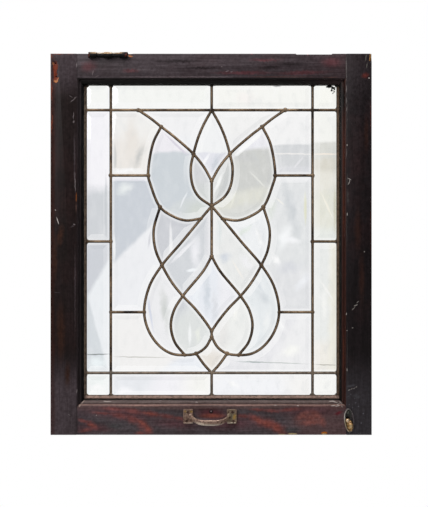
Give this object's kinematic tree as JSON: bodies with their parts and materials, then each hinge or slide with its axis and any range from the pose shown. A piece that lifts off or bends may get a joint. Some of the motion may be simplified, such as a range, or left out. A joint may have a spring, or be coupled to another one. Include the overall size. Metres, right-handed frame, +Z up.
{
  "type": "leaded glass window sash",
  "caption": "Top-hung dark-stained wooden window sash holding a leaded panel of clear bevelled glass, with a bowed sash lift, a hinge leaf and an oval flush pull.",
  "frame": {"origin": "middle of the top edge of the sash, the hinged edge, half way through its thickness", "axes": "+Z up, +X to the right seen from the moulded room side, which faces -Y"},
  "size_m": [0.6, 0.0665, 0.7147],
  "materials": {
    "stained_wood": "old dark brown-black stain and varnish, worn to red-brown and bare wood at edges",
    "came_metal": "aged copper-brown patina with soldered joints",
    "clear_glass": "clear plate, ground and polished bevels",
    "old_putty": "hard, dirty linseed putty",
    "cast_brass": "cast, brown patina rubbed bright on the grip",
    "rusty_iron": "dark iron with rust",
    "worn_brass": "yellow brass, tarnished in the well and rubbed on the thumb piece"
  },
  "bodies": {
    "root": {"came_lattice": "came_metal", "flush_cup": "worn_brass", "glass_border_bottom_left": "clear_glass", "glass_border_bottom_right": "clear_glass", "glass_border_corner_bottom_left": "clear_glass", "glass_border_corner_bottom_right": "clear_glass", "glass_border_corner_top_left": "clear_glass", "glass_border_corner_top_right": "clear_glass", "glass_border_side_lower_left": "clear_glass", "glass_border_side_lower_right": "clear_glass", "glass_border_side_upper_left": "clear_glass", "glass_border_side_upper_right": "clear_glass", "glass_border_top_left": "clear_glass", "glass_border_top_right": "clear_glass", "glass_centre_left": "clear_glass", "glass_centre_right": "clear_glass", "glass_crescent_lower_left": "clear_glass", "glass_crescent_lower_right": "clear_glass", "glass_crescent_upper_left": "clear_glass", "glass_crescent_upper_right": "clear_glass", "glass_diamond": "clear_glass", "glass_diamond_foot": "clear_glass", "glass_field_foot_left": "clear_glass", "glass_field_foot_right": "clear_glass", "glass_field_shoulder_left": "clear_glass", "glass_field_shoulder_right": "clear_glass", "glass_field_side_left": "clear_glass", "glass_field_side_right": "clear_glass", "glass_field_top_left": "clear_glass", "glass_field_top_right": "clear_glass", "glass_lobe_lower_left": "clear_glass", "glass_lobe_lower_right": "clear_glass", "glass_lobe_upper_left": "clear_glass", "glass_lobe_upper_right": "clear_glass", "glass_petal_lower_left": "clear_glass", "glass_petal_lower_right": "clear_glass", "glass_petal_top": "clear_glass", "glazing_putty": "old_putty", "hinge_leaf": "rusty_iron", "hinge_pin": "rusty_iron", "hinge_screw_1": "rusty_iron", "hinge_screw_2": "rusty_iron", "hinge_screw_3": "rusty_iron", "lift_screw_1": "cast_brass", "lift_screw_2": "cast_brass", "lift_screw_3": "cast_brass", "lift_screw_4": "cast_brass", "rail_bottom": "stained_wood", "rail_top": "stained_wood", "sash_lift": "cast_brass", "stile_left": "stained_wood", "stile_right": "stained_wood", "thumb_piece": "worn_brass"}
  },
  "joints": []
}
